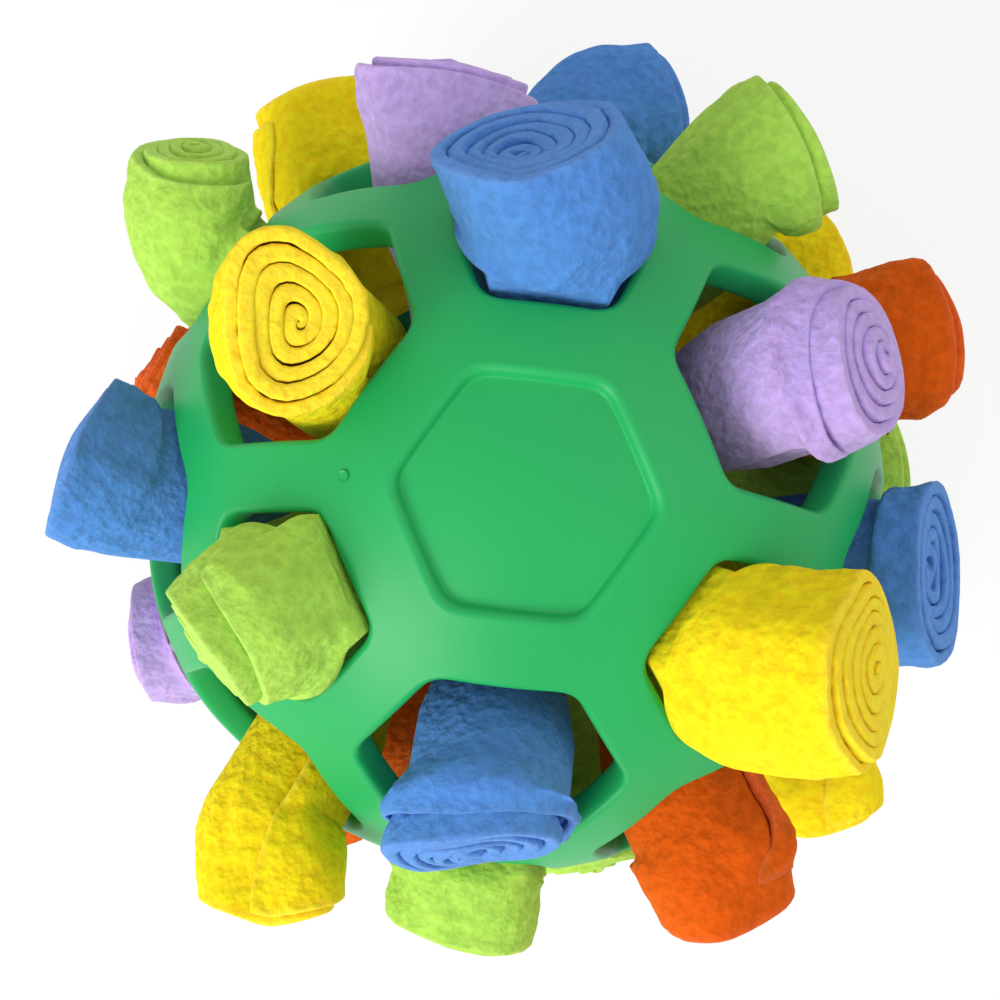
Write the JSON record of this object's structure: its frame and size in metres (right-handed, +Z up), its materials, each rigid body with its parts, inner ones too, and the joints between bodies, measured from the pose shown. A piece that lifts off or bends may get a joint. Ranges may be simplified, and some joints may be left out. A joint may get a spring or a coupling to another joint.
{
  "type": "snuffle ball",
  "caption": "Round snuffle toy: a green rubber lattice ball with a rolled strip of coloured fleece pushed into each opening, to hide food or treats in.",
  "frame": {"origin": "on the floor, under the middle of the whole toy with its rolls; the ball's own middle is 6 mm toward -Y", "axes": "+Z up, out of the upper closed panel; +Y toward one of the three five-sided openings beside that panel"},
  "size_m": [0.1561, 0.1657, 0.1446],
  "materials": {
    "rubber_green": "satin moulded rubber",
    "fleece_yellow": "napped polar fleece",
    "fleece_blue": "napped polar fleece",
    "fleece_purple": "napped polar fleece",
    "fleece_lime": "napped polar fleece",
    "fleece_orange": "napped polar fleece"
  },
  "bodies": {
    "ball": {"rubber_ball": "rubber_green"},
    "roll_lime_1": {"fleece_lime_1": "fleece_lime"},
    "roll_yellow_1": {"fleece_yellow_1": "fleece_yellow"},
    "roll_blue_1": {"fleece_blue_1": "fleece_blue"},
    "roll_yellow_2": {"fleece_yellow_2": "fleece_yellow"},
    "roll_blue_2": {"fleece_blue_2": "fleece_blue"},
    "roll_purple_1": {"fleece_purple_1": "fleece_purple"},
    "roll_purple_2": {"fleece_purple_2": "fleece_purple"},
    "roll_blue_3": {"fleece_blue_3": "fleece_blue"},
    "roll_yellow_3": {"fleece_yellow_3": "fleece_yellow"},
    "roll_orange_1": {"fleece_orange_1": "fleece_orange"},
    "roll_blue_4": {"fleece_blue_4": "fleece_blue"},
    "roll_lime_2": {"fleece_lime_2": "fleece_lime"},
    "roll_lime_3": {"fleece_lime_3": "fleece_lime"},
    "roll_lime_4": {"fleece_lime_4": "fleece_lime"},
    "roll_orange_2": {"fleece_orange_2": "fleece_orange"},
    "roll_purple_3": {"fleece_purple_3": "fleece_purple"},
    "roll_yellow_4": {"fleece_yellow_4": "fleece_yellow"},
    "roll_blue_5": {"fleece_blue_5": "fleece_blue"},
    "roll_yellow_5": {"fleece_yellow_5": "fleece_yellow"},
    "roll_orange_3": {"fleece_orange_3": "fleece_orange"},
    "roll_orange_4": {"fleece_orange_4": "fleece_orange"},
    "roll_lime_5": {"fleece_lime_5": "fleece_lime"},
    "roll_lime_6": {"fleece_lime_6": "fleece_lime"},
    "roll_yellow_6": {"fleece_yellow_6": "fleece_yellow"},
    "roll_orange_5": {"fleece_orange_5": "fleece_orange"},
    "roll_purple_4": {"fleece_purple_4": "fleece_purple"},
    "roll_purple_5": {"fleece_purple_5": "fleece_purple"},
    "roll_blue_6": {"fleece_blue_6": "fleece_blue"},
    "roll_purple_6": {"fleece_purple_6": "fleece_purple"},
    "roll_orange_6": {"fleece_orange_6": "fleece_orange"}
  },
  "joints": [
    {"name": "pull_lime_1", "type": "slide", "parent": "ball", "child": "roll_lime_1", "axis": [-0.5257, -0.3035, 0.7947], "range_m": [0, 0.0289]},
    {"name": "pull_yellow_1", "type": "slide", "parent": "ball", "child": "roll_yellow_1", "axis": [0.5257, -0.3035, 0.7947], "range_m": [0, 0.0215]},
    {"name": "pull_blue_1", "type": "slide", "parent": "ball", "child": "roll_blue_1", "axis": [0, 0.6071, 0.7947], "range_m": [0, 0.0252]},
    {"name": "pull_yellow_2", "type": "slide", "parent": "ball", "child": "roll_yellow_2", "axis": [-0.4173, 0.241, 0.8762], "range_m": [0, 0.0234]},
    {"name": "pull_blue_2", "type": "slide", "parent": "ball", "child": "roll_blue_2", "axis": [-0.0427, -0.7397, 0.6716], "range_m": [0, 0.0343]},
    {"name": "pull_purple_1", "type": "slide", "parent": "ball", "child": "roll_purple_1", "axis": [0.6373, 0.3257, 0.6984], "range_m": [0, 0.0309]},
    {"name": "pull_purple_2", "type": "slide", "parent": "ball", "child": "roll_purple_2", "axis": [-0.2113, 0.9025, 0.3753], "range_m": [0, 0.0324]},
    {"name": "pull_blue_3", "type": "slide", "parent": "ball", "child": "roll_blue_3", "axis": [-0.9021, 0.0181, 0.4312], "range_m": [0, 0.0292]},
    {"name": "pull_yellow_3", "type": "slide", "parent": "ball", "child": "roll_yellow_3", "axis": [-0.3789, -0.8436, 0.3806], "range_m": [0, 0.0245]},
    {"name": "pull_orange_1", "type": "slide", "parent": "ball", "child": "roll_orange_1", "axis": [0.5156, -0.8247, 0.2324], "range_m": [0, 0.0271]},
    {"name": "pull_blue_4", "type": "slide", "parent": "ball", "child": "roll_blue_4", "axis": [0.9116, -0.0198, 0.4107], "range_m": [0, 0.0311]},
    {"name": "pull_lime_2", "type": "slide", "parent": "ball", "child": "roll_lime_2", "axis": [0.5309, 0.7695, 0.355], "range_m": [0, 0.0282]},
    {"name": "pull_lime_3", "type": "slide", "parent": "ball", "child": "roll_lime_3", "axis": [-0.8506, 0.4911, 0.1876], "range_m": [0, 0.0215]},
    {"name": "pull_lime_4", "type": "slide", "parent": "ball", "child": "roll_lime_4", "axis": [0, -0.9822, 0.1876], "range_m": [0, 0.0319]},
    {"name": "pull_orange_2", "type": "slide", "parent": "ball", "child": "roll_orange_2", "axis": [0.8506, 0.4911, 0.1876], "range_m": [0, 0.0278]},
    {"name": "pull_purple_3", "type": "slide", "parent": "ball", "child": "roll_purple_3", "axis": [-0.8506, -0.4911, -0.1876], "range_m": [0, 0.0321]},
    {"name": "pull_yellow_4", "type": "slide", "parent": "ball", "child": "roll_yellow_4", "axis": [0.8506, -0.4911, -0.1876], "range_m": [0, 0.0174]},
    {"name": "pull_blue_5", "type": "slide", "parent": "ball", "child": "roll_blue_5", "axis": [0, 0.9822, -0.1876], "range_m": [0, 0.0149]},
    {"name": "pull_yellow_5", "type": "slide", "parent": "ball", "child": "roll_yellow_5", "axis": [-0.5147, 0.8236, -0.2383], "range_m": [0, 0.0199]},
    {"name": "pull_orange_3", "type": "slide", "parent": "ball", "child": "roll_orange_3", "axis": [-0.9638, 0.2171, -0.1549], "range_m": [0, 0.0336]},
    {"name": "pull_orange_4", "type": "slide", "parent": "ball", "child": "roll_orange_4", "axis": [-0.3616, -0.8361, -0.4126], "range_m": [0, 0.028]},
    {"name": "pull_lime_5", "type": "slide", "parent": "ball", "child": "roll_lime_5", "axis": [0.3463, -0.9271, -0.1437], "range_m": [0, 0.035]},
    {"name": "pull_lime_6", "type": "slide", "parent": "ball", "child": "roll_lime_6", "axis": [0.9667, 0.1625, -0.1979], "range_m": [0, 0.0307]},
    {"name": "pull_yellow_6", "type": "slide", "parent": "ball", "child": "roll_yellow_6", "axis": [0.6589, 0.7114, -0.2445], "range_m": [0, 0.0259]},
    {"name": "pull_orange_5", "type": "slide", "parent": "ball", "child": "roll_orange_5", "axis": [-0.5773, -0.3333, -0.7454], "range_m": [0, 0.0189]},
    {"name": "pull_purple_4", "type": "slide", "parent": "ball", "child": "roll_purple_4", "axis": [0.5773, -0.3333, -0.7454], "range_m": [0, 0.0189]},
    {"name": "pull_purple_5", "type": "slide", "parent": "ball", "child": "roll_purple_5", "axis": [0, 0.6667, -0.7454], "range_m": [0, 0.0189]},
    {"name": "pull_blue_6", "type": "slide", "parent": "ball", "child": "roll_blue_6", "axis": [-0.5257, 0.3035, -0.7947], "range_m": [0, 0.0267]},
    {"name": "pull_purple_6", "type": "slide", "parent": "ball", "child": "roll_purple_6", "axis": [0, -0.6071, -0.7947], "range_m": [0, 0.0267]},
    {"name": "pull_orange_6", "type": "slide", "parent": "ball", "child": "roll_orange_6", "axis": [0.5257, 0.3035, -0.7947], "range_m": [0, 0.0267]}
  ]
}
